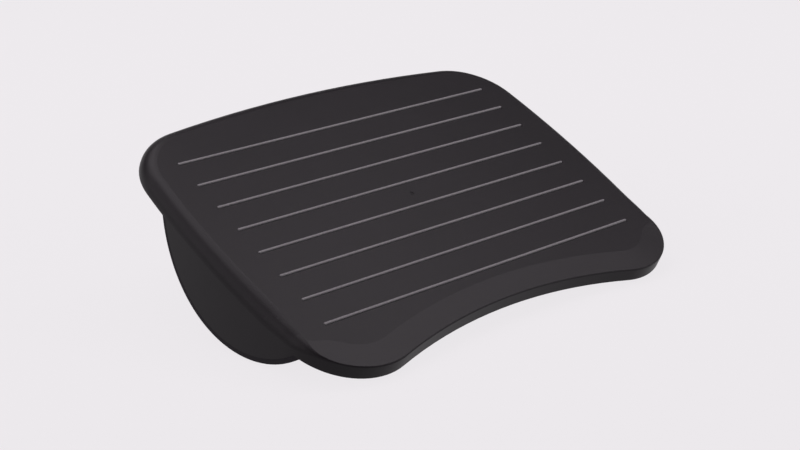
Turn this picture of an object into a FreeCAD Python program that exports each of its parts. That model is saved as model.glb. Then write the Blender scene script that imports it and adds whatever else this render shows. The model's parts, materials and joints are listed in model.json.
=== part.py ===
import FreeCAD, Part
import math
import os
from FreeCAD import Vector

os.makedirs("parts", exist_ok=True)

# Deck outline, seen square on. x runs to the right, v runs to the rear along the deck.
deck_width = 450.0
rear_reach = 163.7
front_reach = 141.2
rear_bow_radius = 1280.0
side_bow_radius = 940.0
rear_corner_radius = 65.0
front_hollow_radius = 508.0
front_corner_radius = 63.5

# Deck section, measured down from the deck's top plane
wall = 3.0
rim_depth = 14.6
rolled_edge = 13.0
rolled_band = 15.0
lip_radius = 1.2
front_bevel_width = 23.7
front_bevel_drop = 1.8
fade_start = -72.0
sewing_tolerance = 1e-4

# Side cheeks, each a segment of a circle hanging below the rim
cheek_radius = 112.0
cheek_centre_v = -25.7
cheek_centre_w = 46.2
cheek_inner_x = 190.0
edging_height = 4.7
edging_width = 11.4
edging_set_back = 0.6
bead_place = 6.8
bead_width = 2.6
bead_height = 4.6
bead_play = 0.1
bead_end_gap = 6.0

# Soft strips across the deck
strip_count = 8
strip_pitch = 30.3
strip_length = 369.5
strip_width = 2.8
strip_proud = 0.9
strip_edge_radius = 0.8
strip_seat = 1.6
strip_gap = 0.3

# Small moulding mark in the middle of the deck
mark_radius = 2.4
mark_depth = 0.45
mark_pip_radius = 0.8
mark_pip_depth = 0.1

# Stiffening under the deck
rib_half = 1.2
rib_depth = 12.0
rib_end_gap = 2.5
rib_places_x = (0.0, 46.0, 96.0, 188.0)
rib_count_v = 9
backing_half = 3.6
backing_depth = 4.6
backing_end = 2.0

# How the deck stands: the front edge is low, the rear edge is high
rest_tilt = 25.0
rear_tilt = 15.0
floor_gap = 3.2

# Axle, fixed to the deck and carried by the base
axle_radius = 5.0
axle_v = 6.0
axle_w = -33.0
running_gap = 0.05
side_play = 0.5
stand_x = 140.0
stand_width = 14.0
bush_wall = 2.5
bush_flange = 1.2
bush_flange_radius = 9.5
bush_middle_gap = 0.2
axle_end_chamfer = 0.6
saddle_width = 14.0
saddle_half_length = 19.0
saddle_flare = 3.0
saddle_root = 0.2
saddle_hollow_half = 5.0
saddle_hollow_above = 17.0
saddle_wall = 3.0
cap_height = 8.0
cap_corner = 3.5
cap_screw_offset = 12.5

# Spring clips in grooves at the ends of the axle
clip_inset = 3.0
clip_radius = 8.0
clip_thickness = 0.9
clip_mouth = 6.8
groove_width = 1.0
groove_depth = 1.0

# Screws: shank radius, shank length, head radius, head height, chamfer of the crown
cap_screw = (1.9, 17.0, 3.8, 2.4, 0.9)
tube_screw = (2.5, 17.0, 4.8, 3.0, 1.1)
screw_slot = 1.0
slot_reach = 0.55
slot_depth = 0.6
cap_screw_hole = 2.2
cap_head_hole = 4.1
cap_head_depth = 2.6
pilot_depth = 15.0

# Stops between the base and the deck
stop_arm = 78.0
stop_pad_w = -13.0
stop_pad_radius = 9.0
stop_gap = 0.3
bumper_radius = 6.5
bumper_height = 4.5
bumper_stem_radius = 3.0
bumper_stem_length = 9.0
bumper_chamfer = 1.8
bumper_post_radius = 8.5
bumper_post_depth = 16.0

# Base frame; each post has its half widths at the outer foot, outer top, inner top and inner foot
foot_height = 4.0
foot_radius = 11.0
foot_stem_radius = 3.5
foot_stem_length = 8.0
foot_chamfer = 1.0
foot_seat_depth = 3.0
foot_places_y = (-88.0, 94.0)
rail_front_y = -100.0
rail_rear_y = 106.0
rail_top_z = 15.0
hub_radius = 12.0
pillar_top_half = 14.0
pillar_top_drop = 8.0
pillar_foot_front = 34.0
pillar_foot_rear = 36.0
post_shoulder = 3.0
front_post = (9.0, 6.0, 8.0, 14.0)
rear_post = (7.5, 6.0, 7.0, 12.0)
waist_height = 19.0
middle_flange_z = 14.0
outline_rounding = 3.0
web = 3.0
flange = 3.0
rib_places_y = (-30.0, 52.0)
stand_rib_half = 1.25
tube_radius = 7.0
tube_wall = 1.2
tube_places_y = (-62.0, 80.0)
tube_z = 16.0
tube_screw_hole = 2.6
plug_length = 16.0
socket_depth = 18.0
socket_wall = 3.5

# Everything below is worked out from the sizes above
half_width = deck_width / 2.0
beyond = 250.0
cos_rest = math.cos(math.radians(rest_tilt))
sin_rest = math.sin(math.radians(rest_tilt))
arc_low = cheek_radius - cheek_centre_w * cos_rest - cheek_centre_v * sin_rest
deck_z = arc_low + floor_gap
deep = cheek_radius - cheek_centre_w + 4.0
shell_radius = cheek_radius - edging_height
bush_radius = axle_radius + running_gap + bush_wall
hub_half = stand_width / 2.0 + bush_flange
saddle_inner_x = stand_x - hub_half - side_play - saddle_width
saddle_outer_x = stand_x + hub_half + side_play
axle_half = saddle_outer_x + saddle_width + 1.5 * clip_inset
bumper_seat = stop_gap + bumper_height
stand_face_x = stand_x + stand_width / 2.0
pad_height = stop_pad_w - axle_w


def polar(centre, radius, angle):
    return (centre[0] + radius * math.cos(angle), centre[1] + radius * math.sin(angle))


def heading(start, end):
    return math.atan2(end[1] - start[1], end[0] - start[0])


def right_meeting(centre_a, radius_a, centre_b, radius_b):
    # Of the two points where two circles meet, the one further to the right
    dx = centre_b[0] - centre_a[0]
    dy = centre_b[1] - centre_a[1]
    span = math.hypot(dx, dy)
    along = (radius_a ** 2 - radius_b ** 2 + span ** 2) / (2.0 * span)
    across = math.sqrt(radius_a ** 2 - along ** 2)
    foot = (centre_a[0] + along * dx / span, centre_a[1] + along * dy / span)
    one = (foot[0] + across * dy / span, foot[1] - across * dx / span)
    two = (foot[0] - across * dy / span, foot[1] + across * dx / span)
    return max(one, two)


# Centres of the circles that make up the right half of the outline
rear_centre = (0.0, rear_reach - rear_bow_radius)
side_centre = (half_width - side_bow_radius, 0.0)
front_centre = (0.0, -front_reach - front_hollow_radius)
rear_corner = right_meeting(
    rear_centre, rear_bow_radius - rear_corner_radius,
    side_centre, side_bow_radius - rear_corner_radius)
front_corner = right_meeting(
    side_centre, side_bow_radius - front_corner_radius,
    front_centre, front_hollow_radius + front_corner_radius)
rear_end = heading(rear_centre, rear_corner)
side_start = heading(side_centre, rear_corner)
side_end = heading(side_centre, front_corner)
hollow_start = heading(front_centre, front_corner)
fade_angle = math.asin(fade_start / side_bow_radius)


def arc_edge(centre, radius, start, end, side):
    points = []
    for angle in (start, (start + end) / 2.0, end):
        x, v = polar(centre, radius, angle)
        points.append(Vector(side * x, v, 0))
    return Part.Arc(points[0], points[1], points[2]).toShape()


def outline_prism(inset, low, high):
    # The deck outline moved inwards by an even amount and drawn out upwards
    corner_end = hollow_start - math.pi
    edges = [arc_edge(rear_centre, rear_bow_radius - inset, math.pi - rear_end, rear_end, 1)]
    edges.append(arc_edge(front_centre, front_hollow_radius + inset, hollow_start, -corner_end, 1))
    for side in (1, -1):
        edges.append(arc_edge(rear_corner, rear_corner_radius - inset, rear_end, side_start, side))
        edges.append(arc_edge(side_centre, side_bow_radius - inset, side_start, side_end, side))
        edges.append(arc_edge(front_corner, front_corner_radius - inset, side_end, corner_end, side))
    face = Part.Face(Part.Wire(Part.__sortEdges__(edges)))
    face.translate(Vector(0, 0, low))
    return face.extrude(Vector(0, 0, high - low))


def eased(keys, place):
    # A value that moves smoothly from each key to the next
    if place <= keys[0][0]:
        return keys[0][1:]
    for one, two in zip(keys, keys[1:]):
        if place <= two[0]:
            share = (place - one[0]) / (two[0] - one[0])
            share = share * share * (3.0 - 2.0 * share)
            return [a + (b - a) * share for a, b in zip(one[1:], two[1:])]
    return keys[-1][1:]


# Edge section along the front corner: share of the way round, roundover, band width and drop
full_edge = (rolled_edge, rolled_band, 0.0)
front_edge = (lip_radius, front_bevel_width, front_bevel_drop)
corner_keys = [
    (0.0, 10.5, 12.8, 0.1),
    (0.13, 6.5, 10.5, 0.5),
    (0.2, 4.0, 17.0, 1.0),
    (0.3, 2.0, 22.0, 1.5),
    (0.4,) + front_edge,
    (1.0,) + front_edge]


def corner_stations():
    # Places from the start of the fade on the right side, round the front corner, to the front hollow
    places = []
    v_end = polar(side_centre, side_bow_radius, side_end)[1]
    for share in (0.0, 0.05, 0.25, 0.5, 0.75):
        angle = fade_angle + (side_end - fade_angle) * share
        v = polar(side_centre, side_bow_radius, angle)[1]
        way = (fade_start - v) / (fade_start - v_end)
        fade = eased([(0.0,) + full_edge, (1.0,) + corner_keys[0][1:]], way)
        places.append((side_centre, side_bow_radius, angle, 1, fade))
    for share in (0.0, 0.06, 0.13, 0.2, 0.28, 0.36, 0.44, 0.52, 0.6, 0.68, 0.76, 0.84, 0.92, 0.98, 1.0):
        angle = side_end + (hollow_start - math.pi - side_end) * share
        places.append((front_corner, front_corner_radius, angle, 1, eased(corner_keys, share)))
    return places


def edge_section(place, inset, depth):
    # Open section of the skin: flat or sloping band, roundover, then straight down
    centre, radius, angle, outward, edge = place
    roundover = max(edge[0] - inset, lip_radius)
    band = edge[1] - inset
    drop = edge[2] * band / edge[1]
    radius = radius - outward * inset
    x, v = polar(centre, radius, angle)
    nx = outward * math.cos(angle)
    nv = outward * math.sin(angle)
    slope = math.atan2(drop, band)
    turn = math.pi / 2.0 - slope
    reach = roundover * math.tan(turn / 2.0)
    bisect = slope + turn / 2.0
    top = -inset

    def at(out, height):
        return Vector(x + nx * out, v + nv * out, top + height)

    inner = at(-band, 0.0)
    first = at(-reach * math.cos(slope), -drop + reach * math.sin(slope))
    last = at(0.0, -drop - reach)
    centre_out = -roundover
    centre_height = -drop - reach
    middle = at(centre_out + roundover * math.sin(bisect), centre_height + roundover * math.cos(bisect))
    edges = [
        Part.makeLine(inner, first),
        Part.Arc(first, middle, last).toShape(),
        Part.makeLine(last, at(0.0, -depth - top))]
    return Part.Wire(edges)


def on_height(edge, height):
    return all(abs(vertex.Z - height) < sewing_tolerance for vertex in edge.Vertexes)


def even_stretch(centre, radius, start, end, outward, edge, inset, depth):
    # Stretch of the skin with the same section all along one arc
    section = edge_section((centre, radius, start, outward, edge), inset, depth)
    upright = Vector(0, 0, 1 if end > start else -1)
    return section.revolve(Vector(centre[0], centre[1], 0), upright, math.degrees(abs(end - start)))


def deck_block(inset, depth):
    # Solid block under the deck's skin, from its top face down to an even depth
    straight = math.pi / 2.0
    right = [
        even_stretch(rear_centre, rear_bow_radius, straight, rear_end, 1, full_edge, inset, depth),
        even_stretch(rear_corner, rear_corner_radius, rear_end, side_start, 1, full_edge, inset, depth),
        even_stretch(side_centre, side_bow_radius, side_start, fade_angle, 1, full_edge, inset, depth),
        Part.makeLoft([edge_section(place, inset, depth) for place in corner_stations()], False, False),
        even_stretch(
            front_centre, front_hollow_radius, hollow_start, straight, -1, front_edge, inset, depth)]
    faces = []
    for stretch in right:
        faces += stretch.Faces + mirrored(stretch).Faces
    skin = Part.Compound(faces)
    skin.sewShape(sewing_tolerance)
    open_edges = skin.Shells[0].getFreeEdges().Edges
    for height in (-inset, -depth):
        rail = [edge for edge in open_edges if on_height(edge, height)]
        faces.append(Part.Face(Part.Wire(Part.__sortEdges__(rail))))
    shell = Part.Compound(faces)
    shell.sewShape(sewing_tolerance)
    block = Part.makeSolid(shell.Shells[0])
    if block.Volume < 0:
        block.reverse()
    return block.removeSplitter()


def box(x0, x1, v0, v1, w0, w1):
    return Part.makeBox(x1 - x0, v1 - v0, w1 - w0, Vector(x0, v0, w0))


def rod(radius, start, end):
    # Round bar from one point to another
    start = Vector(*start)
    end = Vector(*end)
    return Part.makeCylinder(radius, (end - start).Length, start, end - start)


def joined(shapes):
    whole = shapes[0]
    if len(shapes) > 1:
        whole = whole.fuse(shapes[1:])
    return whole.removeSplitter()


def mirrored(shape):
    return shape.mirror(Vector(0, 0, 0), Vector(1, 0, 0))


def both_sides(shape):
    return [shape, mirrored(shape)]


def side_slab(points, x0, x1):
    # Flat shape drawn in the side view and drawn out across the width
    corners = [Vector(x0, p[0], p[1]) for p in points]
    face = Part.Face(Part.makePolygon(corners + corners[:1]))
    return face.extrude(Vector(x1 - x0, 0, 0))


def cheek_disc(radius):
    start = (-beyond, cheek_centre_v, cheek_centre_w)
    end = (beyond, cheek_centre_v, cheek_centre_w)
    return rod(radius, start, end)


def round_bar(half_length, end_radius, v, low, high):
    # Long bar with round ends, lying across the deck
    straight = half_length - end_radius
    bar = box(-straight, straight, v - end_radius, v + end_radius, low, high)
    ends = [rod(end_radius, (side * straight, v, low), (side * straight, v, high)) for side in (-1, 1)]
    return joined([bar] + ends)


def strip_places():
    first = -strip_pitch * (strip_count - 1) / 2.0
    return [first + strip_pitch * step for step in range(strip_count)]


def rib_rows():
    # The ribs that run across the deck lie midway between the strips
    first = -strip_pitch * (rib_count_v - 1) / 2.0
    return [first + strip_pitch * step for step in range(rib_count_v)]


def stop_places():
    return [axle_v - stop_arm, axle_v + stop_arm]


def saddle_starts():
    # Left face of each of the two saddles on the right side
    return [saddle_inner_x, saddle_outer_x]


def cap_screw_places():
    return [axle_v - cap_screw_offset, axle_v + cap_screw_offset]


def stiffening():
    # Ribs, strip backings and stop pads under the top, as one solid; the ribs end just short of the rim
    ribs = [box(-beyond, beyond, v - rib_half, v + rib_half, -rib_depth, 0.0) for v in rib_rows()]
    for x in rib_places_x:
        for side in ((1,) if x == 0.0 else (1, -1)):
            ribs.append(box(side * x - rib_half, side * x + rib_half, -beyond, beyond, -rib_depth, 0.0))
    blocks = [joined(ribs).common(outline_prism(wall + rib_end_gap, -rib_depth - 1.0, 1.0))]
    for v in strip_places():
        half = strip_length / 2.0 + backing_end
        blocks.append(box(-half, half, v - backing_half, v + backing_half, -backing_depth, 0.0))
    for v in stop_places():
        blocks += both_sides(rod(stop_pad_radius, (stand_x, v, stop_pad_w), (stand_x, v, 0.0)))
    return joined(blocks)


def axle_bore(x):
    # Hole for the axle through one saddle and its cap
    return rod(axle_radius, (x - 1.0, axle_v, axle_w), (x + saddle_width + 1.0, axle_v, axle_w))


def saddle_block(x):
    # Hanging block with a half-round seat for the axle and two screw holes from below
    top = -wall + saddle_root
    front = axle_v - saddle_half_length
    rear = axle_v + saddle_half_length
    sides = [(front, axle_w), (rear, axle_w), (rear + saddle_flare, top), (front - saddle_flare, top)]
    cuts = [axle_bore(x)]
    middle = x + saddle_width / 2.0
    for v in cap_screw_places():
        cuts.append(rod(cap_screw[0], (middle, v, axle_w - 1.0), (middle, v, axle_w + pilot_depth)))
        # Hollow on each side of the seat keeps the wall thickness even
        cuts.append(box(
            x + saddle_wall, x + saddle_width - saddle_wall, v - saddle_hollow_half, v + saddle_hollow_half,
            axle_w + saddle_hollow_above, top - saddle_wall))
    return side_slab(sides, x, x + saddle_width).cut(cuts)


def side_reach(x, top):
    # Room that holds one cheek, from a distance out to beyond the side
    return box(x, beyond, -beyond, beyond, -deep - 2.0, top)


def cheek_flange():
    # Inward flange along the right cheek's round lower edge, slotted for the edging's bead
    band = outline_prism(1.0, -deep, -rim_depth + 1.0)
    band = band.cut(outline_prism(edging_width, -deep - 1.0, -rim_depth + 2.0))
    band = band.common(cheek_disc(shell_radius).cut(cheek_disc(shell_radius - wall)))
    return band.common(side_reach(cheek_inner_x, -rim_depth + 0.5))


def platform_shell():
    outer = deck_block(0.0, deep)
    cavity = deck_block(wall, deep + 5.0)
    room = box(-beyond, beyond, -beyond, beyond, -rim_depth, 5.0)
    cheek_room = cheek_disc(shell_radius).common(side_reach(cheek_inner_x, -rim_depth + 1.0))
    outside = outer.common(room.fuse(both_sides(cheek_room)))
    shell = outside.cut(cavity.cut(stiffening()))
    blocks = both_sides(cheek_flange())
    for x in saddle_starts():
        blocks += both_sides(saddle_block(x))
    shell = shell.fuse(blocks)
    cuts = []
    for v in strip_places():
        half = strip_width / 2.0 + strip_gap
        cuts.append(round_bar(strip_length / 2.0 + strip_gap, half, v, -strip_seat, 1.0))
    mark = rod(mark_radius, (0, 0, -mark_depth), (0, 0, 1.0))
    cuts.append(mark.cut(rod(mark_pip_radius, (0, 0, -1.0), (0, 0, -mark_pip_depth))))
    cuts += both_sides(edging_bead(bead_play, shell_radius - wall - 1.0))
    return shell.cut(cuts)


def edging_bead(play, inner_radius):
    # Upright bead of the edging, standing through a slot in the flange
    band = outline_prism(bead_place - bead_width / 2.0 - play, -deep - 1.0, -rim_depth - bead_end_gap + play)
    band = band.cut(outline_prism(bead_place + bead_width / 2.0 + play, -deep - 2.0, 0.0))
    band = band.common(cheek_disc(shell_radius + 1.0).cut(cheek_disc(inner_radius)))
    return band.common(side_reach(cheek_inner_x, 0.0))


def grip_strip(v):
    half = strip_width / 2.0
    bar = round_bar(strip_length / 2.0, half, v, -strip_seat, strip_proud)
    upper = [edge for edge in bar.Edges if on_height(edge, strip_proud)]
    return bar.makeFillet(strip_edge_radius, upper)


def cheek_edging():
    # Soft strip along the round lower edge of the right cheek
    band = outline_prism(edging_set_back, -deep - 3.0, -rim_depth)
    band = band.cut(outline_prism(edging_width, -deep - 4.0, 0.0))
    band = band.common(cheek_disc(cheek_radius).cut(cheek_disc(shell_radius)))
    band = band.common(side_reach(cheek_inner_x, 0.0))
    return joined([band, edging_bead(0.0, shell_radius + 1.0 - bead_height)])


def axle():
    bar = rod(axle_radius, (-axle_half, axle_v, axle_w), (axle_half, axle_v, axle_w))
    ends = [edge for edge in bar.Edges if edge.BoundBox.XLength < 0.01]
    bar = bar.makeChamfer(axle_end_chamfer, ends)
    return bar.cut(both_sides(axle_ring(axle_radius + 1.0, groove_width)))


def axle_ring(outer_radius, width):
    # Flat ring round the groove near the right end of the axle
    start = axle_half - clip_inset - width / 2.0
    ring = rod(outer_radius, (start, axle_v, axle_w), (start + width, axle_v, axle_w))
    end = start + width + 1.0
    return ring.cut(rod(axle_radius - groove_depth, (start - 1.0, axle_v, axle_w), (end, axle_v, axle_w)))


def axle_clip():
    # Open spring washer that sits in the groove at the right end of the axle
    half = clip_mouth / 2.0
    low = axle_w - clip_radius - 1.0
    mouth = box(axle_half - 2.0 * clip_inset, axle_half, axle_v - half, axle_v + half, low, axle_w)
    return axle_ring(clip_radius, clip_thickness).cut(mouth)


def axle_cap(x):
    # Lower half of a saddle, held by two screws
    low = axle_w - cap_height
    front = axle_v - saddle_half_length
    rear = axle_v + saddle_half_length
    sides = [
        (front, axle_w), (front, low + cap_corner), (front + cap_corner, low),
        (rear - cap_corner, low), (rear, low + cap_corner), (rear, axle_w)]
    cuts = [axle_bore(x)]
    middle = x + saddle_width / 2.0
    for v in cap_screw_places():
        cuts.append(rod(cap_screw_hole, (middle, v, low - 1.0), (middle, v, axle_w + 1.0)))
        cuts.append(rod(cap_head_hole, (middle, v, low - 1.0), (middle, v, low + cap_head_depth)))
    return side_slab(sides, x, x + saddle_width).cut(cuts)


def cross_slots(centre, along, radius, depth):
    # Two crossed slots cut down into a screw head
    first = Vector(1, 0, 0) if abs(along.x) < 0.5 else Vector(0, 1, 0)
    second = along.cross(first)
    slots = []
    for a, b in ((first, second), (second, first)):
        corner = centre - a * radius - b * (screw_slot / 2.0)
        far = corner + a * (2.0 * radius)
        width = b * screw_slot
        face = Part.Face(Part.makePolygon([corner, far, far + width, corner + width, corner]))
        slots.append(face.extrude(along * -depth))
    return joined(slots)


def screw(start, along, sizes):
    # Pan head screw; start is under the head and along points out of the head
    shank_radius, shank_length, head_radius, head_height, crown_chamfer = sizes
    start = Vector(*start)
    along = Vector(*along)
    crown = start + along * head_height
    head = Part.makeCylinder(head_radius, head_height, start, along)
    head = head.makeChamfer(crown_chamfer, rim_edges(head, crown))
    head = head.cut(cross_slots(crown, along, head_radius * slot_reach, head_height * slot_depth))
    shank = Part.makeCylinder(shank_radius, shank_length, start - along * shank_length, along)
    return joined([head, shank])


def rim_edges(shape, centre):
    # The round edges of a turned shape whose middle is at a point
    rounds = [edge for edge in shape.Edges if len(edge.Vertexes) == 1]
    return [edge for edge in rounds if (edge.CenterOfMass - centre).Length < 0.05]


def axle_cap_screws():
    group = []
    for x in saddle_starts():
        for v in cap_screw_places():
            start = (x + saddle_width / 2.0, v, axle_w - cap_height + cap_head_depth)
            group += both_sides(screw(start, (0, 0, -1), cap_screw))
    return Part.Compound(group)


def to_room(shape):
    # From the deck's own axes to the room, tilted and raised, not yet centred front to back
    turned = shape.copy()
    turned.rotate(Vector(0, 0, 0), Vector(1, 0, 0), rest_tilt)
    turned.translate(Vector(0, 0, deck_z))
    return turned


def room_point(v, w):
    return (v * cos_rest - w * sin_rest, deck_z + v * sin_rest + w * cos_rest)


pivot_y, pivot_z = room_point(axle_v, axle_w)


def stop_axis(end):
    # Centre of the deck's pad and its facing direction when it meets the stop: 0 front, 1 rear
    tilt = math.radians((rest_tilt, -rear_tilt)[end])
    arm = (-stop_arm, stop_arm)[end]
    y = pivot_y + arm * math.cos(tilt) - pad_height * math.sin(tilt)
    z = pivot_z + arm * math.sin(tilt) + pad_height * math.cos(tilt)
    return (y, z, -math.sin(tilt), math.cos(tilt))


def along_stop(end, distance):
    # Point on the stop's centre line, measured down from the deck's pad
    y, z, dy, dz = stop_axis(end)
    return (stand_x, y - dy * distance, z - dz * distance)


def stop_bumper(end):
    # Rubber mushroom with a broad bevelled head, pressed into its post
    crown = along_stop(end, stop_gap)
    head = rod(bumper_radius, along_stop(end, bumper_seat), crown)
    head = head.makeChamfer(bumper_chamfer, rim_edges(head, Vector(*crown)))
    stem_foot = along_stop(end, bumper_seat + bumper_stem_length)
    return joined([head, rod(bumper_stem_radius, stem_foot, along_stop(end, bumper_seat - 0.5))])


def stand_outline():
    # Side view of a stand: rail, front post, hub pillar and rear post in one line
    front_y, front_z = along_stop(0, bumper_seat)[1:]
    rear_y, rear_z = along_stop(1, bumper_seat)[1:]
    return [
        (rail_front_y, foot_height),
        (rail_rear_y, foot_height),
        (rail_rear_y, rail_top_z),
        (rear_y + rear_post[0], waist_height),
        (rear_y + rear_post[1], rear_z - post_shoulder),
        (rear_y - rear_post[2], rear_z - post_shoulder),
        (rear_y - rear_post[3], waist_height),
        (pivot_y + pillar_foot_rear, waist_height),
        (pivot_y + pillar_top_half, pivot_z - pillar_top_drop),
        (pivot_y - pillar_top_half, pivot_z - pillar_top_drop),
        (pivot_y - pillar_foot_front, waist_height),
        (front_y + front_post[3], waist_height),
        (front_y + front_post[2], front_z - post_shoulder),
        (front_y - front_post[1], front_z - 2.0 * post_shoulder),
        (front_y - front_post[0], waist_height),
        (rail_front_y, rail_top_z - post_shoulder)]


def stand_plate(x0, x1):
    # The side view drawn out, with its corners rounded except along the foot
    plate = side_slab(stand_outline(), x0, x1)
    corners = [edge for edge in plate.Edges
               if edge.BoundBox.XLength > x1 - x0 - 0.01 and edge.CenterOfMass.z > foot_height + 1.0]
    return plate.makeFillet(outline_rounding, corners)


def across(x0, x1, y, z, radius):
    return rod(radius, (x0, y, z), (x1, y, z))


def stand_pocket(x0, x1):
    # Openings left between the flanges, ribs and hub when seen from the side
    flat = [face for face in stand_plate(x0, x1).Faces if abs(face.CenterOfMass.x - x0) < 1e-6]
    pocket = flat[0].makeOffset2D(-flange).extrude(Vector(x1 - x0, 0, 0))
    keep = [across(x0, x1, pivot_y, pivot_z, hub_radius)]
    for end in (0, 1):
        low = along_stop(end, bumper_seat + bumper_stem_length + wall)
        keep.append(rod(bumper_post_radius, low, along_stop(end, 0.0)))
    for y in tube_places_y:
        keep.append(across(x0, x1, y, tube_z, tube_radius + socket_wall))
    for y in foot_places_y:
        top = foot_height + foot_stem_length + wall
        keep.append(rod(foot_stem_radius + wall, (stand_x, y, foot_height), (stand_x, y, top)))
    for y in rib_places_y + (pivot_y,):
        keep.append(box(x0, x1, y - stand_rib_half, y + stand_rib_half, 0.0, pivot_z))
    flange_top = middle_flange_z + 2.0 * stand_rib_half
    keep.append(box(x0, x1, rail_front_y, rail_rear_y, middle_flange_z, flange_top))
    return pocket.cut(keep)


def stand():
    # Right stand, moulded in one piece
    x0 = stand_x - stand_width / 2.0
    socket_x = stand_face_x - socket_wall
    extra = [across(x0, stand_face_x, pivot_y, pivot_z, hub_radius)]
    holes = [across(x0 - 1.0, stand_face_x + 1.0, pivot_y, pivot_z, bush_radius)]
    for end in (0, 1):
        post_foot = along_stop(end, bumper_seat + bumper_post_depth)
        hole_foot = along_stop(end, bumper_seat + bumper_stem_length)
        extra.append(rod(bumper_post_radius, post_foot, along_stop(end, bumper_seat)))
        holes.append(rod(bumper_stem_radius, hole_foot, along_stop(end, 0.0)))
    for y in foot_places_y:
        seat = foot_height + foot_seat_depth
        extra.append(rod(foot_radius, (stand_x, y, foot_height), (stand_x, y, seat)))
        holes.append(rod(foot_stem_radius, (stand_x, y, 0.0), (stand_x, y, foot_height + foot_stem_length)))
    for y in tube_places_y:
        extra.append(across(socket_x - socket_depth, stand_face_x, y, tube_z, tube_radius + socket_wall))
        holes.append(across(x0 - socket_depth, socket_x, y, tube_z, tube_radius))
        holes.append(across(x0, stand_face_x + 1.0, y, tube_z, tube_screw_hole))
    pockets = [stand_pocket(x0, stand_x - web / 2.0), stand_pocket(stand_x + web / 2.0, stand_face_x)]
    return joined([stand_plate(x0, stand_face_x)] + extra).cut(pockets).cut(holes)


def axle_bush(outward):
    # Flanged bush pressed into the hub from one face; outward is +1 for the face away from the middle
    face_x = stand_x + outward * stand_width / 2.0
    flange_x = face_x + outward * bush_flange
    sleeve = across(stand_x + outward * bush_middle_gap, face_x, pivot_y, pivot_z, bush_radius)
    head = across(face_x, flange_x, pivot_y, pivot_z, bush_flange_radius)
    bore = across(stand_x - stand_width, stand_x + stand_width, pivot_y, pivot_z, axle_radius + running_gap)
    return joined([sleeve, head]).cut(bore)


def tie_tube(y):
    half = stand_face_x - socket_wall
    tube = across(-half, half, y, tube_z, tube_radius)
    return tube.cut(across(-half - 1.0, half + 1.0, y, tube_z, tube_radius - tube_wall))


def tube_plugs():
    # Threaded plugs pressed into the four tube ends
    group = []
    end = stand_face_x - socket_wall
    for y in tube_places_y:
        plug = across(end - plug_length, end, y, tube_z, tube_radius - tube_wall)
        group += both_sides(plug.cut(across(end - plug_length - 1.0, end + 1.0, y, tube_z, tube_screw[0])))
    return Part.Compound(group)


def tube_screws():
    group = []
    for y in tube_places_y:
        group += both_sides(screw((stand_face_x, y, tube_z), (1, 0, 0), tube_screw))
    return Part.Compound(group)


def foot(y):
    # Rubber foot with a stem pressed up into the rail
    disc = rod(foot_radius, (stand_x, y, 0.0), (stand_x, y, foot_height))
    disc = disc.makeChamfer(foot_chamfer, rim_edges(disc, Vector(stand_x, y, 0.0)))
    top = foot_height + foot_stem_length
    return joined([disc, rod(foot_stem_radius, (stand_x, y, foot_height - 0.5), (stand_x, y, top))])


def deck_pieces():
    pieces = {"platform_shell": platform_shell()}
    for number, v in enumerate(strip_places(), 1):
        pieces["grip_strip_" + str(number)] = grip_strip(v)
    edging = cheek_edging()
    pieces["right_cheek_edging"] = edging
    pieces["left_cheek_edging"] = mirrored(edging)
    pieces["axle"] = axle()
    pieces["right_axle_clip"] = axle_clip()
    pieces["left_axle_clip"] = mirrored(axle_clip())
    for name, x in (("inner", saddle_inner_x), ("outer", saddle_outer_x)):
        pieces["right_" + name + "_axle_cap"] = axle_cap(x)
        pieces["left_" + name + "_axle_cap"] = mirrored(axle_cap(x))
    pieces["axle_cap_screws"] = axle_cap_screws()
    return pieces


def base_pieces():
    pieces = {"right_stand": stand(), "left_stand": mirrored(stand())}
    for name, outward in (("outer", 1), ("inner", -1)):
        pieces["right_" + name + "_bush"] = axle_bush(outward)
        pieces["left_" + name + "_bush"] = mirrored(axle_bush(outward))
    for name, y in zip(("front", "rear"), tube_places_y):
        pieces[name + "_tie_tube"] = tie_tube(y)
    pieces["tube_plugs"] = tube_plugs()
    pieces["tube_screws"] = tube_screws()
    for name, y in zip(("front", "rear"), foot_places_y):
        pieces["right_" + name + "_foot"] = foot(y)
        pieces["left_" + name + "_foot"] = mirrored(foot(y))
    for name, end in (("front", 0), ("rear", 1)):
        pieces["right_" + name + "_bumper"] = stop_bumper(end)
        pieces["left_" + name + "_bumper"] = mirrored(stop_bumper(end))
    return pieces


pieces = {name: to_room(shape) for name, shape in deck_pieces().items()}
box_of_shell = pieces["platform_shell"].optimalBoundingBox(False)
centring = -(box_of_shell.YMin + box_of_shell.YMax) / 2.0
pieces.update(base_pieces())
for name, shape in pieces.items():
    shape.translate(Vector(0, centring, 0))
    shape.exportStep("parts/" + name + ".step")
    extent = shape.optimalBoundingBox(False)
    print(name, "valid" if shape.isValid() else "not valid", len(shape.Solids), round(shape.Volume),
          [round(extent.XMin, 2), round(extent.XMax, 2), round(extent.YMin, 2), round(extent.YMax, 2),
           round(extent.ZMin, 2), round(extent.ZMax, 2)])
print("pieces", len(pieces))
print("axle line y, z", round(pivot_y + centring, 4), round(pivot_z, 4))
print("deck origin y, z", round(centring, 4), round(deck_z, 4))
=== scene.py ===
import bpy
import json
import math
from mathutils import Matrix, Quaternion, Vector


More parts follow.
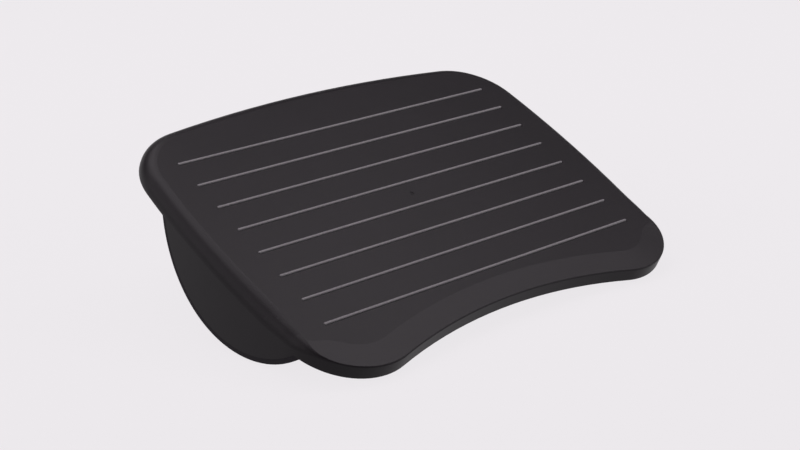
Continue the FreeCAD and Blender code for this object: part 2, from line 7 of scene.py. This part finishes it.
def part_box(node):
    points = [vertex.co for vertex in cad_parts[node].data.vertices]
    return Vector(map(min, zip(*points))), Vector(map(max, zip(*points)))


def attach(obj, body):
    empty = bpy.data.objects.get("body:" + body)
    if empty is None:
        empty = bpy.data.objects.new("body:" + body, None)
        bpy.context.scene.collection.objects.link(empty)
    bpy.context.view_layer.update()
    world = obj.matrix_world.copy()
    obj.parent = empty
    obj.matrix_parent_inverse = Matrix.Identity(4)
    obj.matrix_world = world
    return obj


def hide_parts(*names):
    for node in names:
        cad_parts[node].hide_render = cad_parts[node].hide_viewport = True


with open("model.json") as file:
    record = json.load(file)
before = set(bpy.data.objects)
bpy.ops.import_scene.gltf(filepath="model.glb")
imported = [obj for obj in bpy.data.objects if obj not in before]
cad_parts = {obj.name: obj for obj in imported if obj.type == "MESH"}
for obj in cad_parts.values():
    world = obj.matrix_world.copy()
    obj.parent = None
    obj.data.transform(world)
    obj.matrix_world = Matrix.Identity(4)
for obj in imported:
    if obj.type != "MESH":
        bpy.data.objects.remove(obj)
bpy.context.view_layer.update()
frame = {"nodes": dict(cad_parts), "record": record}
nodes = frame["nodes"]
print("frame loaded:", len(nodes), "pieces")


def hexToLinear(code):
    # an sRGB hex colour as linear red, green, blue and alpha
    shares = [int(code[i:i + 2], 16) / 255.0 for i in (1, 3, 5)]
    return [s / 12.92 if s <= 0.04045 else ((s + 0.055) / 1.055) ** 2.4 for s in shares] + [1.0]


def addNode(tree, kind, settings=None, values=None, links=None):
    # one node: settings are its own options, values its sockets, links what feeds its sockets
    node = tree.nodes.new(kind)
    for name, value in (settings or {}).items():
        setattr(node, name, value)
    for name, value in (values or {}).items():
        node.inputs[name].default_value = value
    for name, source in (links or {}).items():
        tree.links.new(source, node.inputs[name])
    return node


def startMaterial(name):
    # an empty material with its output, and the object's own metres as the pattern's place
    material = bpy.data.materials.new(name)
    material.use_nodes = True
    tree = material.node_tree
    tree.nodes.clear()
    output = addNode(tree, "ShaderNodeOutputMaterial")
    place = addNode(tree, "ShaderNodeTexCoord").outputs["Object"]
    return material, tree, output, place


def perMetre(sizeMm):
    # a pattern scale in cycles per metre from the size of one cycle in millimetres
    return 1000.0 / sizeMm


def loftRings(name, rings, closeStart):
    # rings of equal count joined one to the next; the last is closed, the first only if asked
    count = len(rings[0])
    points = [point for ring in rings for point in ring]
    faces = [tuple(reversed(range(count)))] if closeStart else []
    for low in range(0, len(points) - count, count):
        for i in range(count):
            j = (i + 1) % count
            faces.append((low + i, low + j, low + count + j, low + count + i))
    faces.append(tuple(range(len(points) - count, len(points))))
    mesh = bpy.data.meshes.new(name)
    mesh.from_pydata(points, [], faces)
    for face in mesh.polygons:
        face.use_smooth = True
    piece = bpy.data.objects.new(name, mesh)
    bpy.context.scene.collection.objects.link(piece)
    return piece


# Camera: the photograph's own viewpoint, solved from the parallel strips and the outline
cameraView = {
    "eye": (-0.9596, -1.0411, 0.5504),
    "aim": (-0.0267, -0.0174, 0.0640),
    "rollDegrees": -0.31,
    "lens": 74.5,
    "sensor": 36.0,
}


def makeCamera(v):
    data = bpy.data.cameras.new("camera")
    data.lens = v["lens"]
    data.sensor_width = v["sensor"]
    camera = bpy.data.objects.new("camera", data)
    camera.location = v["eye"]
    facing = (Vector(v["aim"]) - Vector(v["eye"])).to_track_quat("-Z", "Y")
    roll = Quaternion((0.0, 0.0, 1.0), math.radians(v["rollDegrees"]))
    camera.rotation_euler = (facing @ roll).to_euler()
    bpy.context.scene.collection.objects.link(camera)
    bpy.context.scene.camera = camera


makeCamera(cameraView)
bpy.context.scene.view_settings.view_transform = "Standard"
print("camera ready")


# Floor: a round sheet of pale matt paper that turns up at its rim, so that no horizon shows
floorSheet = {
    "radius": 7.0,
    "bend": 1.0,             # radius of the curve where the paper turns up
    "height": 2.2,
    "drop": 0.0001,          # just under the soles, so that the two faces don't fight
    "bendSteps": 8,
    "flatShares": (1.0, 0.5, 0.1),  # rings on the flat part, as shares of its radius
    "turnSteps": 64,
    "colour": "#ECE9EC",
    "roughness": 1.0,
    "brightness": 1.0,
    "glow": 0.96,            # share that glows evenly; the rest takes light and a faint shadow
}


def circleRing(radius, z, steps):
    turns = [2.0 * math.pi * step / steps for step in range(steps)]
    return [(radius * math.cos(turn), radius * math.sin(turn), z) for turn in turns]


def paperRings(f):
    # from the paper's upper rim down its wall, round the bend and in to the middle of the floor
    flat = f["radius"] - f["bend"]
    profile = [(f["radius"], f["height"])]
    for step in range(f["bendSteps"], 0, -1):
        turn = math.radians(90.0 * step / f["bendSteps"])
        profile.append((flat + f["bend"] * math.sin(turn), f["bend"] * (1.0 - math.cos(turn))))
    profile += [(flat * share, 0.0) for share in f["flatShares"]]
    return [circleRing(far, up - f["drop"], f["turnSteps"]) for far, up in profile]


def makePaper(f):
    material, tree, output, place = startMaterial("matt_backdrop_paper")
    colour = hexToLinear(f["colour"])
    diffuse = addNode(tree, "ShaderNodeBsdfDiffuse", values={"Color": colour, "Roughness": f["roughness"]})
    glow = addNode(tree, "ShaderNodeEmission", values={"Color": colour, "Strength": f["brightness"]})
    blend = addNode(tree, "ShaderNodeMixShader", values={0: f["glow"]},
                    links={1: diffuse.outputs[0], 2: glow.outputs[0]})
    tree.links.new(blend.outputs[0], output.inputs["Surface"])
    return material


def makeFloor(f):
    floor = loftRings("floorSheet", paperRings(f), closeStart=False)
    floor.data.materials.append(makePaper(f))


# Lights: six soft boxes about two metres from the deck, in an otherwise dark room
softLights = {
    "aim": (0.0, 0.0, 0.08),
    "colour": "#FFF8FE",
    "boxes": [
        # name, place, width, height, watts
        ("leftRearBox", (-1.540, 0.560, 1.147), 2.2, 1.6, 22.0),
        ("rearHighBox", (0.000, 0.845, 1.813), 1.4, 1.4, 21.5),
        ("overheadBox", (-0.350, 0.050, 1.970), 1.0, 1.0, 7.5),
        ("rightHighBox", (0.845, 0.000, 1.813), 1.0, 1.0, 12.5),
        ("rightBox", (1.208, -0.440, 1.532), 1.0, 1.0, 8.5),
        ("frontRightLow", (1.329, -1.329, 0.684), 1.0, 1.0, 9.0),
    ],
}
roomLight = {"colour": "#F2F0F3", "strength": 0.01}


def makeLights(lamps):
    for name, place, width, height, watts in lamps["boxes"]:
        data = bpy.data.lights.new(name, "AREA")
        data.shape = "RECTANGLE"
        data.size = width
        data.size_y = height
        data.energy = watts
        data.color = hexToLinear(lamps["colour"])[:3]
        light = bpy.data.objects.new(name, data)
        light.location = place
        facing = (Vector(lamps["aim"]) - Vector(place)).to_track_quat("-Z", "Y")
        light.rotation_euler = facing.to_euler()
        bpy.context.scene.collection.objects.link(light)


def makeRoom(r):
    world = bpy.data.worlds.new("room")
    world.use_nodes = True
    sky = world.node_tree.nodes["Background"].inputs
    sky["Color"].default_value = hexToLinear(r["colour"])
    sky["Strength"].default_value = r["strength"]
    bpy.context.scene.world = world


makeFloor(floorSheet)
makeLights(softLights)
makeRoom(roomLight)
print("studio ready:", len(softLights["boxes"]), "soft boxes")


# The deck's slope at rest and the origin on its flat top, both from the part's source
deckPlane = {"degrees": 25.0, "origin": (0.0, -0.0040245, 0.0841899)}
deckLean = math.radians(deckPlane["degrees"])
deckUp = (0.0, -math.sin(deckLean), math.cos(deckLean))

toneStops = (0.30, 0.70)     # the noise patterns seldom leave this range
# mix nodes: sockets go by number, because several share one name
mixIn = {"share": 0, "numberA": 2, "numberB": 3, "colourA": 6, "colourB": 7}
mixOut = {"number": 0, "colour": 2}


def setTones(ramp, m):
    # spreads a pattern between the finish's low and high colours
    for element, place, code in zip(ramp.color_ramp.elements, toneStops, (m["low"], m["high"])):
        element.position = place
        element.color = hexToLinear(code)
    return ramp.outputs["Color"]


# Deck: injection moulded ABS from a spark-eroded mould: dark charcoal, matt, with a fine even grain
mouldedAbs = {
    "low": "#131113",
    "high": "#181518",
    "bevelPaintedLight": "#1D1B1D",       # the front bevel, a little paler: painted light, where it leans towards the lamps
    "bevelDegrees": 4.35,    # how far the bevel leans from the deck
    "bevelSpread": 0.0020,   # how far from that lean, as a cosine, still counts as bevel
    "grainMm": 1.1,          # the real grain is about 0.3 mm, drawn coarser so that it shows
    "grainDetail": 3.0,
    "grainDepth": 0.00005,
    "cloudMm": 70.0,         # slow flow marks of the moulding
    "cloudDetail": 2.0,
    "grainShare": 0.65,      # how much of the colour follows the grain, the rest follows the clouds
    "roughness": 0.42,
    "roughnessSpread": 0.08,
    "shine": 0.10,           # the grain scatters most of the gloss of plain ABS
    "ior": 1.53,
}


def makeMouldedAbs(m):
    material, tree, output, place = startMaterial("moulded_abs_spark_grain")
    grain = addNode(tree, "ShaderNodeTexNoise",
                    values={"Scale": perMetre(m["grainMm"]), "Detail": m["grainDetail"]},
                    links={"Vector": place})
    cloud = addNode(tree, "ShaderNodeTexNoise",
                    values={"Scale": perMetre(m["cloudMm"]), "Detail": m["cloudDetail"]},
                    links={"Vector": place})
    tint = addNode(tree, "ShaderNodeMix", {"data_type": "FLOAT"}, {mixIn["share"]: m["grainShare"]},
                   {mixIn["numberA"]: cloud.outputs["Fac"], mixIn["numberB"]: grain.outputs["Fac"]})
    ramp = addNode(tree, "ShaderNodeValToRGB", links={"Fac": tint.outputs[mixOut["number"]]})
    # the bevel is found by its lean: the faces whose angle to the deck is the bevel's, painted paler as
    # painted light
    facing = addNode(tree, "ShaderNodeTexCoord").outputs["Normal"]
    lean = addNode(tree, "ShaderNodeVectorMath", {"operation": "DOT_PRODUCT"}, {1: deckUp}, {0: facing})
    bevel = addNode(tree, "ShaderNodeMath", {"operation": "COMPARE"},
                    {1: math.cos(math.radians(m["bevelDegrees"])), 2: m["bevelSpread"]},
                    {0: lean.outputs["Value"]})
    # painted light: the bevel's faces take the paler colour in place of the grain's tones
    bevelPaintedLight = addNode(tree, "ShaderNodeMix", {"data_type": "RGBA"}, {mixIn["colourB"]: hexToLinear(m["bevelPaintedLight"])},
                   {mixIn["share"]: bevel.outputs["Value"], mixIn["colourA"]: setTones(ramp, m)})
    polish = addNode(tree, "ShaderNodeMapRange",
                     values={"To Min": m["roughness"] - m["roughnessSpread"] / 2.0,
                             "To Max": m["roughness"] + m["roughnessSpread"] / 2.0},
                     links={"Value": grain.outputs["Fac"]})
    bump = addNode(tree, "ShaderNodeBump", values={"Strength": 1.0, "Distance": m["grainDepth"]},
                   links={"Height": grain.outputs["Fac"]})
    shader = addNode(tree, "ShaderNodeBsdfPrincipled",
                     values={"IOR": m["ior"], "Specular IOR Level": m["shine"]},
                     links={"Base Color": bevelPaintedLight.outputs[mixOut["colour"]],
                            "Roughness": polish.outputs["Result"],
                            "Normal": bump.outputs["Normal"]})
    tree.links.new(shader.outputs["BSDF"], output.inputs["Surface"])
    return material


# Grip strips: grey TPE, a soft rubber moulded into the grooves: mid grey, dull, slightly dusty
softTpe = {
    "low": "#5B595B",
    "high": "#6B696B",
    "grainMm": 1.6,          # real rubber is finer grained, drawn coarser so that it shows
    "grainDepth": 0.00006,
    "roughness": 0.72,
    "shine": 0.20,
    "ior": 1.50,
}

# Edging, feet and bumpers: black moulded TPE, duller than the deck
blackTpe = {
    "low": "#121013",
    "high": "#1A171B",
    "grainMm": 1.4,          # drawn coarser than the real grain so that it shows
    "grainDepth": 0.00005,
    "roughness": 0.66,
    "shine": 0.10,
    "ior": 1.50,
}

# Stands and axle caps: black polypropylene, moulded in a smoother mould than the deck: satin
mouldedPp = {
    "low": "#1C1C1F",
    "high": "#252529",
    "grainMm": 1.8,          # drawn coarser than the real grain so that it shows
    "grainDepth": 0.00003,
    "roughness": 0.45,
    "shine": 0.30,
    "ior": 1.49,
}

# Bushes: natural nylon, moulded smooth: warm off-white, satin
naturalNylon = {
    "low": "#C9C2AE",
    "high": "#D8D2C0",
    "grainMm": 6.0,          # no grain, only slow unevenness of the colour
    "grainDepth": 0.00002,
    "roughness": 0.38,
    "shine": 0.40,
    "ior": 1.53,
}


def makePlainMoulding(name, m):
    # rubber or plastic from an untextured mould: one even grain in the colour and in the surface
    material, tree, output, place = startMaterial(name)
    grain = addNode(tree, "ShaderNodeTexNoise", values={"Scale": perMetre(m["grainMm"])},
                    links={"Vector": place})
    ramp = addNode(tree, "ShaderNodeValToRGB", links={"Fac": grain.outputs["Fac"]})
    bump = addNode(tree, "ShaderNodeBump", values={"Strength": 1.0, "Distance": m["grainDepth"]},
                   links={"Height": grain.outputs["Fac"]})
    shader = addNode(tree, "ShaderNodeBsdfPrincipled",
                     values={"IOR": m["ior"], "Specular IOR Level": m["shine"],
                             "Roughness": m["roughness"]},
                     links={"Base Color": setTones(ramp, m), "Normal": bump.outputs["Normal"]})
    tree.links.new(shader.outputs["BSDF"], output.inputs["Surface"])
    return material


# Axle and tie tubes: cold-drawn steel: bright, with fine lines along the bar
drawnSteel = {
    "low": "#8E8F91",
    "high": "#B4B5B7",
    "lineMm": 0.8,           # real draw lines are finer, drawn coarser so that they show
    "lineStretch": 0.01,     # the lines run along the bar, a hundred times longer than wide
    "lineDepth": 0.00001,
    "roughness": 0.30,
}


def makeDrawnSteel(m):
    material, tree, output, place = startMaterial("cold_drawn_steel")
    along = addNode(tree, "ShaderNodeMapping", values={"Scale": (m["lineStretch"], 1.0, 1.0)},
                    links={"Vector": place})
    lines = addNode(tree, "ShaderNodeTexNoise", values={"Scale": perMetre(m["lineMm"])},
                    links={"Vector": along.outputs["Vector"]})
    ramp = addNode(tree, "ShaderNodeValToRGB", links={"Fac": lines.outputs["Fac"]})
    bump = addNode(tree, "ShaderNodeBump", values={"Strength": 1.0, "Distance": m["lineDepth"]},
                   links={"Height": lines.outputs["Fac"]})
    shader = addNode(tree, "ShaderNodeBsdfPrincipled",
                     values={"Metallic": 1.0, "Roughness": m["roughness"]},
                     links={"Base Color": setTones(ramp, m), "Normal": bump.outputs["Normal"]})
    tree.links.new(shader.outputs["BSDF"], output.inputs["Surface"])
    return material


# Screws, clips and plugs: zinc-plated steel: cool grey, slightly cloudy plating
zincPlate = {
    "low": "#A4A8AD",
    "high": "#C6C9CD",
    "cloudMm": 3.0,          # patches of the plating
    "cloudDetail": 3.0,
    "roughness": 0.33,
}


def makeZincPlate(m):
    material, tree, output, place = startMaterial("zinc_plated_steel")
    cloud = addNode(tree, "ShaderNodeTexNoise",
                    values={"Scale": perMetre(m["cloudMm"]), "Detail": m["cloudDetail"]},
                    links={"Vector": place})
    ramp = addNode(tree, "ShaderNodeValToRGB", links={"Fac": cloud.outputs["Fac"]})
    shader = addNode(tree, "ShaderNodeBsdfPrincipled",
                     values={"Metallic": 1.0, "Roughness": m["roughness"]},
                     links={"Base Color": setTones(ramp, m)})
    tree.links.new(shader.outputs["BSDF"], output.inputs["Surface"])
    return material


finishes = {
    "deck_moulding": makeMouldedAbs(mouldedAbs),
    "grey_soft_strip": makePlainMoulding("moulded_grey_tpe", softTpe),
    "black_rubber": makePlainMoulding("moulded_black_tpe", blackTpe),
    "base_moulding": makePlainMoulding("moulded_black_polypropylene", mouldedPp),
    "nylon": makePlainMoulding("moulded_natural_nylon", naturalNylon),
    "steel_bar": makeDrawnSteel(drawnSteel),
    "plated_steel": makeZincPlate(zincPlate),
}


def dressNodes(record):
    # each node takes the finish of its own material slot
    for part in record["subparts"]:
        node = nodes[part["node"]]
        node.data.materials.clear()
        node.data.materials.append(finishes[part["material_slot"]])


dressNodes(frame["record"])


# Grip strips: soft bars in the deck's grooves, each shrunk away from its groove's front wall
gripStrips = {
    "count": 8,
    "pitch": 0.0303,         # centre to centre up the slope, in metres
    "halfWidth": 0.0014,
    "shrink": 0.00035,       # leaves the fine dark line along the front of each strip
    "seat": 0.0015,          # depth below the deck's face
    "proud": 0.0009,         # height above it
    "edgeRadius": 0.0008,
    "edgeSteps": 5,
    "endSteps": 10,
}


def onDeck(x, v, w):
    # a place given across the deck, up its slope and out of it, in the frame's metres
    middle = deckPlane["origin"]
    y = middle[1] + v * math.cos(deckLean) - w * math.sin(deckLean)
    z = middle[2] + v * math.sin(deckLean) + w * math.cos(deckLean)
    return (middle[0] + x, y, z)


def barRing(straight, radius, v, w, steps):
    # the outline of a bar with round ends, at one height over the deck
    ring = []
    for centre, start in ((straight, -90.0), (-straight, 90.0)):
        for step in range(steps + 1):
            turn = math.radians(start + 180.0 * step / steps)
            ring.append(onDeck(centre + radius * math.cos(turn), v + radius * math.sin(turn), w))
    return ring


def makeGripStrip(number, g):
    node = "grip_strip_" + str(number)
    low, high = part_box(node)
    straight = (high.x - low.x) / 2.0 - g["halfWidth"]
    half = g["halfWidth"] - g["shrink"] / 2.0
    v = g["pitch"] * (number - (g["count"] + 1) / 2.0) + g["shrink"] / 2.0
    rings = [barRing(straight, half, v, -g["seat"], g["endSteps"])]
    for step in range(g["edgeSteps"] + 1):
        turn = math.radians(90.0 * step / g["edgeSteps"])
        inset = g["edgeRadius"] * (1.0 - math.cos(turn))
        height = g["proud"] - g["edgeRadius"] * (1.0 - math.sin(turn))
        rings.append(barRing(straight, half - inset, v, height, g["endSteps"]))
    strip = loftRings("soft_strip_" + str(number), rings, closeStart=True)
    strip.data.materials.append(finishes["grey_soft_strip"])
    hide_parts(node)
    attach(strip, "platform")


for number in range(1, gripStrips["count"] + 1):
    makeGripStrip(number, gripStrips)
print("grip strips:", gripStrips["count"])
